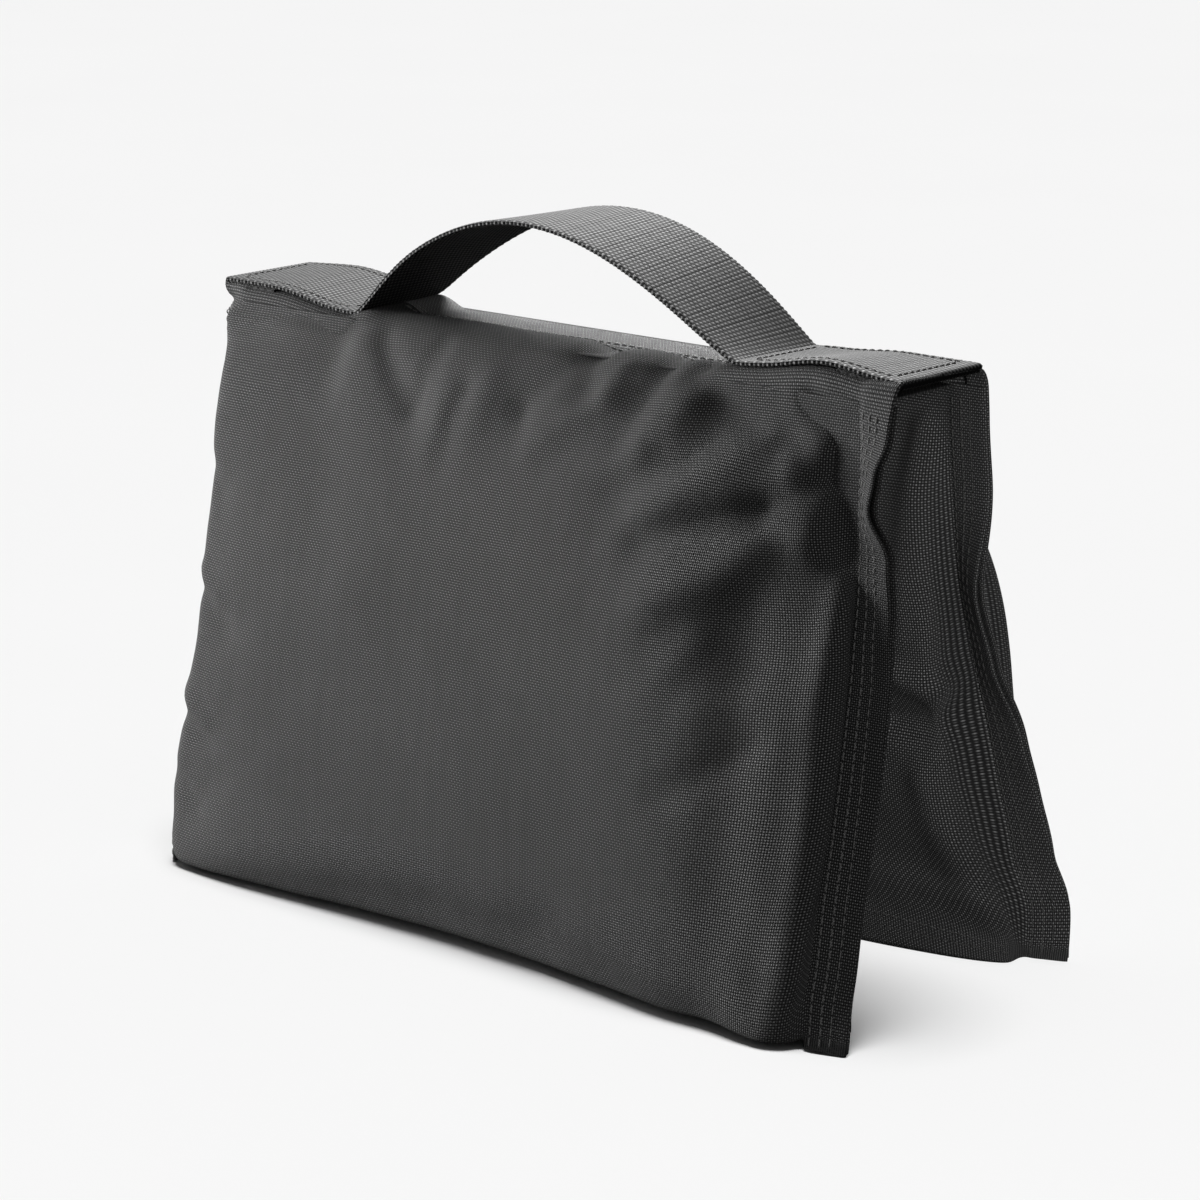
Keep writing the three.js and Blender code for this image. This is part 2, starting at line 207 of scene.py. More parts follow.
def bezier_points(outline, count):
    """count points at equal distances along an outline of Bezier spans."""
    outline = np.array(outline, float)
    t = np.linspace(0, 1, 120)[:, None]
    dense = [outline[:1]]
    for k in range(0, len(outline) - 1, 3):
        a, b, c, d = outline[k:k + 4]
        span = a * (1 - t) ** 3 + 3 * b * t * (1 - t) ** 2 + 3 * c * t * t * (1 - t) + d * t ** 3
        dense.append(span[1:])
    return even(np.vstack(dense), count)


def distances(points):
    steps = np.linalg.norm(np.diff(points, axis=0), axis=1)
    return np.concatenate([[0], np.cumsum(steps)])


def even(points, count):
    """A polyline resampled to count points at equal distances."""
    along = distances(points)
    at = np.linspace(0, along[-1], count)
    return np.stack([np.interp(at, along, points[:, k]) for k in range(points.shape[1])], 1)


def unit(v):
    return v / np.maximum(np.linalg.norm(v, axis=-1, keepdims=True), 1e-12)


def grid_normals(p):
    down = np.gradient(p, axis=0)
    across = np.gradient(p, axis=1)
    return unit(np.cross(across, down))


def blur(values, sigma):
    """A grid of values blurred along both directions, with its edges repeated."""
    reach = int(3 * sigma) + 1
    kernel = np.exp(-0.5 * (np.arange(-reach, reach + 1) / sigma) ** 2)
    kernel /= kernel.sum()
    for axis in (0, 1):
        pad = [(reach, reach) if k == axis else (0, 0) for k in range(values.ndim)]
        wide = np.pad(values, pad, mode="edge")
        size = values.shape[axis]
        values = sum(w * np.take(wide, range(k, k + size), axis=axis)
                     for k, w in enumerate(kernel))
    return values


def curve_of(table, column, z):
    """A smooth value at each height z, in metres, from rows of (height in mm, values...)."""
    rows = np.array(sorted(table), float)
    at = np.clip(z / MM, rows[0, 0], rows[-1, 0])
    k = np.clip(np.searchsorted(rows[:, 0], at) - 1, 0, len(rows) - 2)
    t = smooth((at - rows[k, 0]) / (rows[k + 1, 0] - rows[k, 0]))
    return rows[k, column] * (1 - t) + rows[k + 1, column] * t


def quads(rows, cols, close_rows=False, close_cols=False):
    r = np.arange(rows if close_rows else rows - 1)
    c = np.arange(cols if close_cols else cols - 1)
    r, c = [x.ravel() for x in np.meshgrid(r, c, indexing="ij")]
    r1, c1 = (r + 1) % rows, (c + 1) % cols
    return np.stack([r * cols + c, r1 * cols + c, r1 * cols + c1, r * cols + c1], 1)


def new_object(name, points, faces, uv=None, flip=False):
    """A mesh object from arrays; uv is one pair per point, in metres of cloth."""
    mesh = bpy.data.meshes.new(name)
    if flip:
        faces = [list(f)[::-1] for f in faces]
    else:
        faces = [list(f) for f in faces]
    mesh.from_pydata(np.asarray(points, float).reshape(-1, 3).tolist(), [],
                     [[int(i) for i in f] for f in faces])
    mesh.shade_smooth()
    if uv is not None:
        layer = mesh.uv_layers.new(name="cloth")
        corners = np.zeros(len(mesh.loops), np.int64)
        mesh.loops.foreach_get("vertex_index", corners)
        layer.data.foreach_set("uv", np.asarray(uv, np.float32).reshape(-1, 2)[corners].ravel())
    made = bpy.data.objects.new(name, mesh)
    bpy.context.scene.collection.objects.link(made)
    return made


def soften(piece, levels=1, thickness=None):
    if levels:
        sub = piece.modifiers.new("subdivision", "SUBSURF")
        sub.levels = sub.render_levels = levels
    if thickness:
        solid = piece.modifiers.new("thickness", "SOLIDIFY")
        solid.thickness = thickness
        solid.offset = 0


# ================================================================ node materials
class Nodes:
    """A short way to write node trees: each call adds a node and returns its output."""

    def __init__(self, name):
        self.material = bpy.data.materials.new(name)
        self.material.use_nodes = True
        self.tree = self.material.node_tree
        self.shader = self.tree.nodes["Principled BSDF"]

    def add(self, kind, inputs=(), output=0, **settings):
        node = self.tree.nodes.new(kind)
        for key, value in settings.items():
            setattr(node, key, value)
        for key, value in dict(inputs).items():
            if isinstance(value, bpy.types.NodeSocket):
                self.tree.links.new(value, node.inputs[key])
            else:
                node.inputs[key].default_value = value
        return node.outputs[output]

    def math(self, operation, a, b=0.0, clamp=False):
        return self.add("ShaderNodeMath", {0: a, 1: b}, operation=operation, use_clamp=clamp)

    def mix(self, share, a, b):
        """Mixes two colours or, by colour, two values."""
        return self.add("ShaderNodeMix", {0: share, 6: a, 7: b}, output=2, data_type="RGBA")

    def noise(self, place, scale, detail=2.0, roughness=0.5):
        return self.add("ShaderNodeTexNoise", {"Vector": place, "Scale": scale,
                                               "Detail": detail, "Roughness": roughness})

    def range(self, value, low, high, to_low=0.0, to_high=1.0):
        return self.add("ShaderNodeMapRange", {0: value, 1: low, 2: high, 3: to_low, 4: to_high})

    def set(self, **inputs):
        for key, value in inputs.items():
            socket = self.shader.inputs[key.replace("_", " ")]
            if isinstance(value, bpy.types.NodeSocket):
                self.tree.links.new(value, socket)
            else:
                socket.default_value = value

    def bump(self, height, distance, strength=1.0, after=None):
        inputs = {"Height": height, "Distance": distance, "Strength": strength}
        if after is not None:
            inputs["Normal"] = after
        return self.add("ShaderNodeBump", inputs)


def grey(value, tint=0.0):
    return (value * (1 + tint), value, value * (1 - tint), 1)


def yarns(n, pitch_u, pitch_v):
    """Plain weave from the cloth's UVs: (height of the yarn on top, which yarn is on top)."""
    uv = n.add("ShaderNodeUVMap", uv_map="cloth")
    split = n.tree.nodes.new("ShaderNodeSeparateXYZ")
    n.tree.links.new(uv, split.inputs[0])
    u = n.math("MULTIPLY", split.outputs[0], 1 / pitch_u)
    v = n.math("MULTIPLY", split.outputs[1], 1 / pitch_v)
    cell = n.math("ADD", n.math("FLOOR", u), n.math("FLOOR", v))
    warp_up = n.math("FLOORED_MODULO", cell, 2.0)
    arch_u = n.math("SINE", n.math("MULTIPLY", n.math("FRACT", u), math.pi))
    arch_v = n.math("SINE", n.math("MULTIPLY", n.math("FRACT", v), math.pi))

    def yarn(across, along):
        round_ = n.math("POWER", across, 0.6)
        rise = n.math("MULTIPLY_ADD", along, 0.6)
        rise.node.inputs[2].default_value = 0.4
        return n.math("MULTIPLY", round_, rise)

    warp, weft = yarn(arch_u, arch_v), yarn(arch_v, arch_u)
    up = n.math("MULTIPLY", warp, warp_up)
    down = n.math("MULTIPLY", weft, n.math("SUBTRACT", 1.0, warp_up))
    return n.math("ADD", up, down), warp_up


def nylon_cloth(name="nylon_cloth", brightness=1.0):
    """Dark grey coarse nylon in plain weave, slightly shiny on top of each yarn; its colour has painted
    highlights on the yarn tops and painted shade between the yarns and on every other cell.
    """
    n = Nodes(name)
    height, warp_up = yarns(n, YARN_ACROSS, YARN_DOWN)
    place = n.add("ShaderNodeTexCoord", output=3)
    broad = n.noise(place, 14.0, 4.0, 0.6)
    fibre = n.noise(place, 900.0, 2.0, 0.6)
    # Painted highlights and shade: the colour runs from near black where the yarns dip (painted shade) to pale
    # grey on the yarn tops (painted highlights).
    deep, top = grey(0.001 * brightness, 0.01), grey(0.41 * brightness, 0.0)
    painted_yarn_light = n.math("POWER", height, 5.0)
    colour = n.mix(painted_yarn_light, deep, top)
    # Painted shade on every other cell of the weave, standing for the different light that the two yarn
    # directions catch.
    colour = n.mix(n.math("MULTIPLY", warp_up, 0.62), colour, grey(0.006 * brightness))
    worn = n.range(broad, 0.3, 0.75, 0.0, 0.14)
    colour = n.mix(worn, colour, grey(0.04 * brightness, 0.015))
    streak = n.noise(n.add("ShaderNodeMapping", {"Vector": place, "Scale": (230, 230, 22)}), 1.0)
    colour = n.mix(n.range(streak, 0.4, 0.7, 0.0, 0.22), colour, grey(0.02 * brightness))
    colour = n.mix(n.range(fibre, 0.35, 0.8, 0.0, 0.2), colour, grey(0.01 * brightness))
    rough = n.range(height, 0.0, 1.0, 0.82, 0.5)
    rough = n.math("ADD", rough, n.range(broad, 0.2, 0.8, -0.05, 0.07))
    fine = n.bump(fibre, 0.08 * MM, 0.6)
    n.set(Base_Color=colour, Roughness=rough, Sheen_Weight=0.06, Sheen_Roughness=0.45,
          Specular_IOR_Level=0.42, Normal=n.bump(height, 0.38 * MM, 1.0, fine))
    return n.material


def webbing(name="webbing"):
    """Heavier, lighter grey webbing; its beads are in the mesh, its fibres are here. Its colour also has
    painted shade between the beads and painted highlights on their tops.
    """
    n = Nodes(name)
    uv = n.add("ShaderNodeUVMap", uv_map="cloth")
    height = n.add("ShaderNodeAttribute", output=2, attribute_name="bead")
    stretch = n.add("ShaderNodeMapping", {"Vector": uv, "Scale": (900, 5200, 1)})
    fibre = n.noise(stretch, 1.0, 2.0, 0.6)
    place = n.add("ShaderNodeTexCoord", output=3)
    broad = n.noise(place, 25.0, 3.0, 0.55)
    # Painted shade and highlights: the colour runs from near black between the beads to pale grey on the bead
    # tops.
    colour = n.mix(n.range(height, 0.45, 0.95), grey(0.001), grey(0.36, 0.0))
    colour = n.mix(n.range(fibre, 0.3, 0.75, 0.0, 0.35), colour, grey(0.02))
    colour = n.mix(n.range(broad, 0.3, 0.75, 0.0, 0.2), colour, grey(0.05, 0.01))
    rough = n.range(height, 0.0, 1.0, 0.85, 0.45)
    n.set(Base_Color=colour, Roughness=rough, Sheen_Weight=0.1, Sheen_Roughness=0.4,
          Specular_IOR_Level=0.45, Normal=n.bump(fibre, 0.1 * MM, 0.7))
    return n.material


def stitching_thread(name="stitching_thread"):
    """Pale grey bonded thread with its twist."""
    n = Nodes(name)
    place = n.add("ShaderNodeTexCoord", output=3)
    twist = n.add("ShaderNodeTexWave", {"Vector": place, "Scale": 620.0, "Distortion": 1.2,
                                        "Detail": 1.0}, output=1, bands_direction="DIAGONAL")
    colour = n.mix(twist, grey(0.08, 0.01), grey(0.30, 0.015))
    n.set(Base_Color=colour, Roughness=n.range(twist, 0, 1, 0.6, 0.42), Sheen_Weight=0.1,
          Normal=n.bump(twist, 0.12 * MM, 0.8))
    return n.material


def liner_film(name="liner_film"):
    """Milky plastic liner film with fine creases."""
    n = Nodes(name)
    place = n.add("ShaderNodeTexCoord", output=3)
    crease = n.add("ShaderNodeTexVoronoi", {"Vector": place, "Scale": 45.0}, output=0,
                   feature="DISTANCE_TO_EDGE")
    haze = n.noise(place, 20.0, 4.0)
    colour = n.mix(haze, grey(0.42, 0.03), grey(0.62, 0.01))
    n.set(Base_Color=colour, Roughness=n.range(haze, 0.3, 0.8, 0.22, 0.42), Coat_Weight=0.2,
          Normal=n.bump(n.range(crease, 0.0, 0.08, 0.0, 1.0), 0.5 * MM, 0.7))
    return n.material


def dry_sand(name="sand"):
    """Washed quartz sand: mixed pale and brown grains."""
    n = Nodes(name)
    place = n.add("ShaderNodeTexCoord", output=3)
    grain = n.tree.nodes.new("ShaderNodeTexVoronoi")
    grain.inputs["Scale"].default_value = 1600.0
    n.tree.links.new(place, grain.inputs["Vector"])
    tone = n.add("ShaderNodeSeparateColor", {0: grain.outputs["Color"]})
    colour = n.mix(tone, (0.33, 0.21, 0.11, 1), (0.66, 0.52, 0.34, 1))
    damp = n.noise(place, 18.0, 3.0)
    colour = n.mix(n.range(damp, 0.35, 0.7, 0.0, 0.3), colour, (0.30, 0.21, 0.13, 1))
    n.set(Base_Color=colour, Roughness=n.range(tone, 0, 1, 0.95, 0.7),
          Normal=n.bump(grain.outputs["Distance"], 0.5 * MM, 0.9))
    return n.material


def studio_floor():
    n = Nodes("studio_floor")
    place = n.add("ShaderNodeTexCoord", output=3)
    n.set(Base_Color=n.mix(n.noise(place, 3.0), grey(0.90), grey(0.915)), Roughness=0.9)
    return n.material


NYLON = nylon_cloth()
WEBBING = webbing()
THREAD = stitching_thread()
FILM = liner_film()
SAND = dry_sand()


# ================================================================ pouch surfaces
def end_share(pouch, t, z):
    """How full the pouch is at t, from -1 at its left side seam to 1 at its right one."""
    share = np.ones(np.broadcast(t, z).shape)
    for side, table in ((-1, pouch["left_end"]), (1, pouch["right_end"])):
        full = curve_of(table, 1, z) * MM / SEAM_X
        rest = curve_of(table, 2, z)
        q = np.clip((t * side - full) / (1 - full), 0, 1)
        edge = np.clip(1 - (1 - t * side) * SEAM_X / (11 * MM), 0, 1)
        share = share * (rest + (1 - rest) * (1 - q * q) ** 0.8) * (1 - edge * edge) ** 0.5
    return share


def across_x(pouch, t, z):
    """Place along the bag at t, where the pouch widens towards its bottom."""
    reach = SEAM_X * (1 + WIDENING * smooth((170 * MM - z) / (150 * MM)))
    tuck = np.where(t > 0, curve_of(pouch["right_tuck"], 1, z), curve_of(pouch["left_tuck"], 1, z))
    return t * (reach + tuck * MM)


def tab_hump(x, front_share):
    """How far the strap end and the cloth under it stand above their flat height."""
    front, back = front_share, 1 - front_share
    right = 4.4 * front * bump(x, 145 * MM, 27 * MM) + 0.9 * back * smooth((x - 100 * MM) / (20 * MM))
    left = 2.4 * back * bump(x, -150 * MM, 30 * MM) - 4.2 * front * bump(x, -106 * MM, 30 * MM)
    left = left - 1.2 * back * bump(x, -104 * MM, 14 * MM)
    return np.where(x > 0, right, left) * MM


def at_place(pouch, points):
    """(distance out, height) in mm to (y, z) in metres."""
    out = np.empty_like(points)
    out[..., 0] = MID_Y + pouch["sign"] * points[..., 0] * MM
    out[..., 1] = points[..., 1] * MM
    return out


def column_shares():
    """Places across a panel from -1 to 1, closer together near the side seams."""
    t = np.linspace(-1, 1, COLUMNS + 1)
    return t + 0.06 * np.sin(math.pi * t)


def seam_points(outline):
    """Rows down a side seam, closer together at its end beside the flat bottom."""
    s = np.interp(np.linspace(0, 1, ROWS + 1), [0, 0.5, 0.88, 1], [0, 0.5, 0.982, 1])
    fine = bezier_points(outline, 400)
    return np.stack([np.interp(s, np.linspace(0, 1, 400), fine[:, k]) for k in range(2)], 1)


def seam_top(count):
    """The flat top rows at the side seams, from the valley to the lip."""
    top = TOP_Z / MM
    flat = [(0.8, top), (9, top), (18, top), (22.5, top),
            (25.4, top), (27.2, top - 0.6), (27.4, top - 2.2)]
    return bezier_points(flat, count)


def loft(pouch, panel):
    """(points, cut) of a panel: its smooth shape and its flat cut, rows from the top down."""
    t = column_shares()
    seam = at_place(pouch, seam_points(pouch["seam"]))
    full = at_place(pouch, bezier_points(pouch[panel], ROWS + 1))
    share = smooth(distances(full) / (45 * MM))[:, None]
    top_width = 1 - smooth((np.abs(t) * SEAM_X - 84 * MM) / (18 * MM))
    height = (seam[:, 1] * 0.5 + full[:, 1] * 0.5)[:, None]
    weight = share * end_share(pouch, t[None], height)
    weight = weight + (1 - share) * top_width[None]
    if panel == "outer":
        top_full = at_place(pouch, bezier_points(pouch["top"], TOP_ROWS + 1))
        top_seam = at_place(pouch, seam_top(TOP_ROWS + 1))
        full = np.vstack([top_full[:-1], full])
        seam = np.vstack([top_seam[:-1], seam])
        weight = np.vstack([np.repeat(top_width[None], TOP_ROWS, 0), weight])
    yz = seam[:, None] * (1 - weight[..., None]) + full[:, None] * weight[..., None]
    bulge = np.clip(np.abs(full[:, 0] - seam[:, 0]) / (25 * MM), 0, 1)[:, None]
    inside = (1 - np.abs(t)) * SEAM_X
    near_seam = bump(inside, 15 * MM, 24 * MM) * smooth(inside / (8 * MM)) * np.sign(t)
    overhang = np.where(t > 0, pouch["overhang"][1], pouch["overhang"][0]) * MM
    bulge = bulge * (1 - smooth((yz[..., 1] - 140 * MM) / (60 * MM)))
    x = across_x(pouch, t[None], yz[..., 1]) + bulge * (overhang * near_seam)[None]
    points = np.concatenate([x[..., None], yz], 2)
    left_swing, right_swing = pouch["swing"]
    swing = left_swing * smooth(-t) + right_swing * smooth(t) * (1 - smooth((t - 0.9) / 0.1))
    low = (1 - points[..., 2] / TOP_Z).clip(0, 1)
    points[..., 1] += pouch["sign"] * MM * swing * low ** 2
    if panel == "outer":
        front_share = 0.5 - (points[..., 1] - MID_Y) / (2 * STRAP_HALF)
        under = 1 - smooth((TOP_Z - 2 * MM - points[..., 2]) / (14 * MM))
        under = under * smooth((np.abs(points[..., 0]) - 96 * MM) / (14 * MM))
        lift = 1.2 * MM * smooth((np.abs(points[..., 0]) - 120 * MM) / (34 * MM))
        points[..., 2] += (tab_hump(points[..., 0], np.clip(front_share, 0, 1)) + lift) * under
    cut = np.stack(np.meshgrid(distances(full), t * SEAM_X, indexing="ij")[::-1], 2)
    return points, cut


def fold_lift(rows, x, z):
    """How far the folds push the cloth out at each place."""
    total = np.zeros_like(x)
    for x0, z0, x1, z1, width, lift in np.array(rows) * MM:
        dx, dz = x1 - x0, z1 - z0
        t = np.clip(((x - x0) * dx + (z - z0) * dz) / (dx * dx + dz * dz), 0, 1)
        off = np.hypot(x - x0 - t * dx, z - z0 - t * dz)
        total += lift * np.exp(-(off / (width * (0.75 + 0.4 * t))) ** 2) * (1 - 0.3 * t)
    return total


def add_folds(points, panel, outward):
    """Pushes the folds of a panel out of its smooth shape, easing off at its seams."""
    rows = FOLDS.get(panel)
    if rows:
        x, z = points[..., 0], points[..., 2]
        seam = smooth((1 - np.abs(column_shares())) * SEAM_X / (6 * MM))[None]
        end = smooth(distances(points[:, COLUMNS // 2]) / (8 * MM))[:, None]
        end = end * end[::-1]
        points += grid_normals(points) * (outward * fold_lift(rows, x, z) * seam * end)[..., None]


def start_ripple(points, seed):
    """A faint uneven ripple, so that folds start where chance puts them."""
    random = np.random.default_rng(seed)
    x, z = points[..., 0], points[..., 2]
    ripple = np.zeros_like(x)
    for _ in range(26):
        kx, kz = random.uniform(-150, 150, 2)
        ripple += np.sin(kx * x + kz * z + random.uniform(0, 6.28)) / 26
    return ripple


def inflate(panels):
    """Cloth simulation of all panels together: pinned at their seams, blown up from inside."""
    points, cuts, faces, pins, first = [], [], [], [], 0
    for panel in panels:
        p, cut = panel["smooth"].copy(), panel["cut"]
        p[..., 1] += start_ripple(p, panel["seed"]) * START_RIPPLE * ~panel["pinned"]
        rows, cols = p.shape[:2]
        flat = np.zeros_like(p)
        flat[..., 0] = cut[..., 0] * (1 + CUT_EXTRA_ACROSS)
        flat[..., 2] = -cut[..., 1] * (1 + CUT_EXTRA_DOWN)
        points.append(p.reshape(-1, 3))
        cuts.append(flat.reshape(-1, 3))
        order = quads(rows, cols)
        faces.append((order if panel["outward"] < 0 else order[:, ::-1]) + first)
        pins.append(panel["pinned"].ravel().astype(float))
        first += rows * cols
    points, cuts = np.vstack(points), np.vstack(cuts)
    work = new_object("inflating", points, np.vstack(faces))
    work.shape_key_add(name="start")
    cut_key = work.shape_key_add(name="cut")
    cut_key.data.foreach_set("co", cuts.astype(np.float32).ravel())
    group = work.vertex_groups.new(name="pinned")
    pins = np.concatenate(pins)
    group.add([int(i) for i in np.flatnonzero(pins > 0.5)], 1.0, "REPLACE")
    cloth = work.modifiers.new("cloth", "CLOTH")
    s = cloth.settings
    s.quality = 6
    s.mass = 0.3
    s.air_damping = 4
    s.tension_stiffness = s.compression_stiffness = 30
    s.shear_stiffness = 8
    s.bending_stiffness = 1.2
    s.tension_damping = s.compression_damping = 12
    s.shear_damping = 5
    s.bending_damping = 1.5
    s.vertex_group_mass = group.name
    s.rest_shape_key = cut_key
    s.use_pressure = True
    s.uniform_pressure_force = PRESSURE
    s.effector_weights.gravity = 0
    cloth.collision_settings.use_collision = False
    cloth.point_cache.frame_start, cloth.point_cache.frame_end = 1, SIM_FRAMES
    for step in range(1, SIM_FRAMES + 1):
        bpy.context.scene.frame_set(step)
    blown = work.evaluated_get(bpy.context.evaluated_depsgraph_get()).to_mesh()
    result = np.zeros(len(points) * 3, np.float32)
    blown.vertices.foreach_get("co", result)
    result = result.reshape(-1, 3).astype(float)
    bpy.context.scene.frame_set(1)
    bpy.data.objects.remove(work)
    at = 0
    for panel in panels:
        size = panel["smooth"].shape[0] * panel["smooth"].shape[1]
        panel["blown"] = result[at:at + size].reshape(panel["smooth"].shape)
        at += size


def settle(panel):
    """The final panel: the smooth shape with the simulation's folds on it."""
    p = panel["smooth"].copy()
    if "blown" in panel:
        moved = panel["blown"] - p
        broad = blur(moved, 9.0)
        edge = 1 - blur(panel["pinned"].astype(float), 1.5)[..., None]
        folds = (blur(moved, 1.1) - broad) * FOLDS_DEEPER + LOW_KEPT * broad
        size = np.linalg.norm(folds, axis=2, keepdims=True)
        folds = folds * WRINKLE_CAP / (WRINKLE_CAP + size)
        p += folds * np.clip(edge * 1.4, 0, 1) * ~panel["pinned"][..., None]
    else:
        n = grid_normals(p) * panel["outward"]
        free = smooth((1 - blur(panel["pinned"].astype(float), 3.0)) * 1.3)
        p += n * (start_ripple(p, panel["seed"]) * 2.5 * MM * free)[..., None]
    low = FLOOR_GAP
    lift = p[..., 2] < low + 1 * MM
    p[..., 2] = np.where(lift, low + 1 * MM * np.exp((p[..., 2] - low - 1 * MM) / MM), p[..., 2])
    panel["final"] = p


def make_panels():
    panels = []
    for side, pouch in POUCHES.items():
        for kind in ("outer", "inner"):
            points, cut = loft(pouch, kind)
            pinned = np.zeros(points.shape[:2], bool)
            pinned[0] = pinned[-1] = True
            pinned[:, 0] = pinned[:, -1] = True
            if kind == "outer":
                under_tab = (np.abs(points[..., 0]) > 98 * MM)
                under_tab[TOP_ROWS + 1:] = False
                pinned |= under_tab
            # Rows run down and columns run towards +X, so rows x columns points along +Y.
            outward = pouch["sign"] if kind == "outer" else -pouch["sign"]
            add_folds(points, (side, kind), outward)
            panels.append({"side": side, "kind": kind, "pouch": pouch, "smooth": points,
                           "cut": cut, "pinned": pinned, "outward": outward,
                           "seed": len(panels) + 3})
    inflate(panels)
    for panel in panels:
        settle(panel)
    return panels


# ================================================================ flanges
def flange_frames(panel, side):
    """Seam points, outward normals, lean and hem gap for each row on one side (+1 right)."""
    pouch = panel["pouch"]
    seam = panel["final"][:, -1 if side > 0 else 0]
    tangent = unit(np.gradient(seam, axis=0))
    normal = unit(np.cross(tangent, (1.0, 0, 0))) * -pouch["sign"]
    flat = panel["kind"] == "outer"
    rows = pouch["right" if side > 0 else "left"]
    lean = np.radians(curve_of(rows, 1, seam[:, 2]))
    gap = curve_of(rows, 2, seam[:, 2]) * MM
    if flat:
        top = np.arange(len(seam)) < TOP_ROWS
        lean = np.where(top, 0, lean)
        gap = np.where(top, 0, gap)
    return seam, normal, lean, gap


def flange_points(panel, side, out, depth):
    """Points out from the seam along the flange, depth off its middle, for every row."""
    seam, normal, lean, gap = flange_frames(panel, side)
    along = np.outer(np.cos(lean), (side, 0, 0)) + normal * np.sin(lean)[:, None]
    off = np.outer(-np.sin(lean), (side, 0, 0)) + normal * np.cos(lean)[:, None]
    opened = gap * smooth((out - 5 * MM) / (13 * MM))
    sheet_side = 1 if panel["kind"] == "outer" else -1
    points = seam + along * out + off * (sheet_side * (depth + opened / 2))[:, None]
    points[:, 2] = np.maximum(points[:, 2], FLOOR_GAP)
    return points


def ply_depth(out):
    """How far a flange's outside ply lies from the flange's middle, before it opens."""
    return (0.1 + 1.35 * smooth(out / (5 * MM))) * MM


def flange_columns(panel, side):
    """(points, cut distance) columns of the flange and its turned hem, going outwards."""
    columns, cut = [], []
    for out in FLANGE_STEPS:
        out = out * MM
        columns.append(flange_points(panel, side, out, ply_depth(out)))
        cut.append(SEAM_X + out)
    edge = ply_depth(FLANGE)
    columns.append(flange_points(panel, side, FLANGE, edge - PLY_STEP / 2))
    cut.append(HALF_LENGTH + 0.5 * MM)
    for out in HEM_RETURN:
        out = out * MM
        columns.append(flange_points(panel, side, out, edge - PLY_STEP))
        cut.append(2 * HALF_LENGTH - SEAM_X - out + 1 * MM)
    return columns, cut


def panel_piece(panel):
    """One cloth panel with its two flanges and turned hems, as one sheet."""
    right, right_cut = flange_columns(panel, 1)
    left, left_cut = flange_columns(panel, -1)
    columns = left[::-1] + list(np.moveaxis(panel["final"], 1, 0)) + right
    across = [-c for c in left_cut[::-1]] + list(panel["cut"][0, :, 0]) + right_cut
    points = np.stack(columns, 1)
    down = panel["cut"][:, 0, 1]
    uv = np.stack(np.meshgrid(down, np.array(across), indexing="ij")[::-1], 2)
    rows, cols = points.shape[:2]
    name = f"{panel['side']}_{panel['kind']}_cloth"
    piece = new_object(name, points, quads(rows, cols), uv, flip=panel["outward"] > 0)
    soften(piece, 1, CLOTH)
    piece.data.materials.append(NYLON)
    return piece


# ================================================================ stitches
def dashes(name, lines, pitch=4.2 * MM, length=3.3 * MM, radius=0.33 * MM):
    """Thread dashes along lines of (points, normals); each dash dips into the cloth."""
    ring, steps = 6, 6
    profile = np.linspace(0, 1, steps)
    lift = np.sin(profile * math.pi) ** 0.5 * 1.15 - 0.55
    swell = 0.75 + 0.25 * np.sin(profile * math.pi)
    angles = np.arange(ring) * 2 * math.pi / ring
    points, faces, first = [], [], 0
    for line, normals in lines:
        along = distances(line)
        for start in np.arange(pitch / 2, along[-1] - length, pitch):
            at = start + profile * length
            p = np.stack([np.interp(at, along, line[:, k]) for k in range(3)], 1)
            n = unit(np.stack([np.interp(at, along, normals[:, k]) for k in range(3)], 1))
            t = unit(np.gradient(p, axis=0))
            b = unit(np.cross(t, n))
            centre = p + n * (lift * radius)[:, None]
            round_ = (np.cos(angles)[None, :, None] * b[:, None] +
                      np.sin(angles)[None, :, None] * n[:, None])
            body = centre[:, None] + round_ * (swell * radius)[:, None, None]
            points.append(body.reshape(-1, 3))
            order = quads(steps, ring, close_cols=True) + first
            faces += order.tolist()
            faces.append([first + k for k in range(ring)])
            faces.append([first + (steps - 1) * ring + k for k in range(ring)][::-1])
            first += steps * ring
    piece = new_object(name, np.vstack(points), faces)
    piece.data.materials.append(THREAD)
    return piece


def flange_stitches(panel, side, name):
    lines = []
    start = TOP_ROWS + 1 if panel["kind"] == "outer" else 1
    for row in STITCH_ROWS:
        out = row * MM
        depth = ply_depth(out) + CLOTH / 2
        line = flange_points(panel, side, out, depth)[start:]
        seam, normal, lean, gap = flange_frames(panel, side)
        sheet_side = 1 if panel["kind"] == "outer" else -1
        off = np.outer(-np.sin(lean), (side, 0, 0)) + normal * np.cos(lean)[:, None]
        lines.append((line, (off * sheet_side)[start:]))
    return dashes(name, lines)


def surface_line(panel, row, columns, lift=CLOTH / 2):
    """A stitch line along one row of a panel, on its outer face."""
    p = panel["final"]
    n = grid_normals(p) * panel["outward"]
    return p[row, columns] + n[row, columns] * lift, n[row, columns]


def follow_pouch(piece):
    """Bakes the piece's transform into its mesh."""
    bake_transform(piece)


def finish_panel(panel):
    side, kind, pouch = panel["side"], panel["kind"], panel["pouch"]
    piece = panel_piece(panel)
    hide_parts(f"{side}_{kind}_panel")
    follow_pouch(piece)
    for way, name in ((1, "right"), (-1, "left")):
        node = f"{side}_{name}_{kind}_stitches"
        thread = flange_stitches(panel, way, f"{side}_{name}_{kind}_thread")
        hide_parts(node)
        follow_pouch(thread)
    return piece


def bottom_thread(panel):
    """The row that closes a pouch's bottom, just above the bottom seam on the inner panel."""
    columns = np.arange(2, COLUMNS - 1)
    rows = [surface_line(panel, row, columns) for row in (-4, -6)]
    thread = dashes(f"{panel['side']}_bottom_thread", rows)
    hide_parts(f"{panel['side']}_bottom_stitches")
    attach(thread, panel["pouch"]["body"])


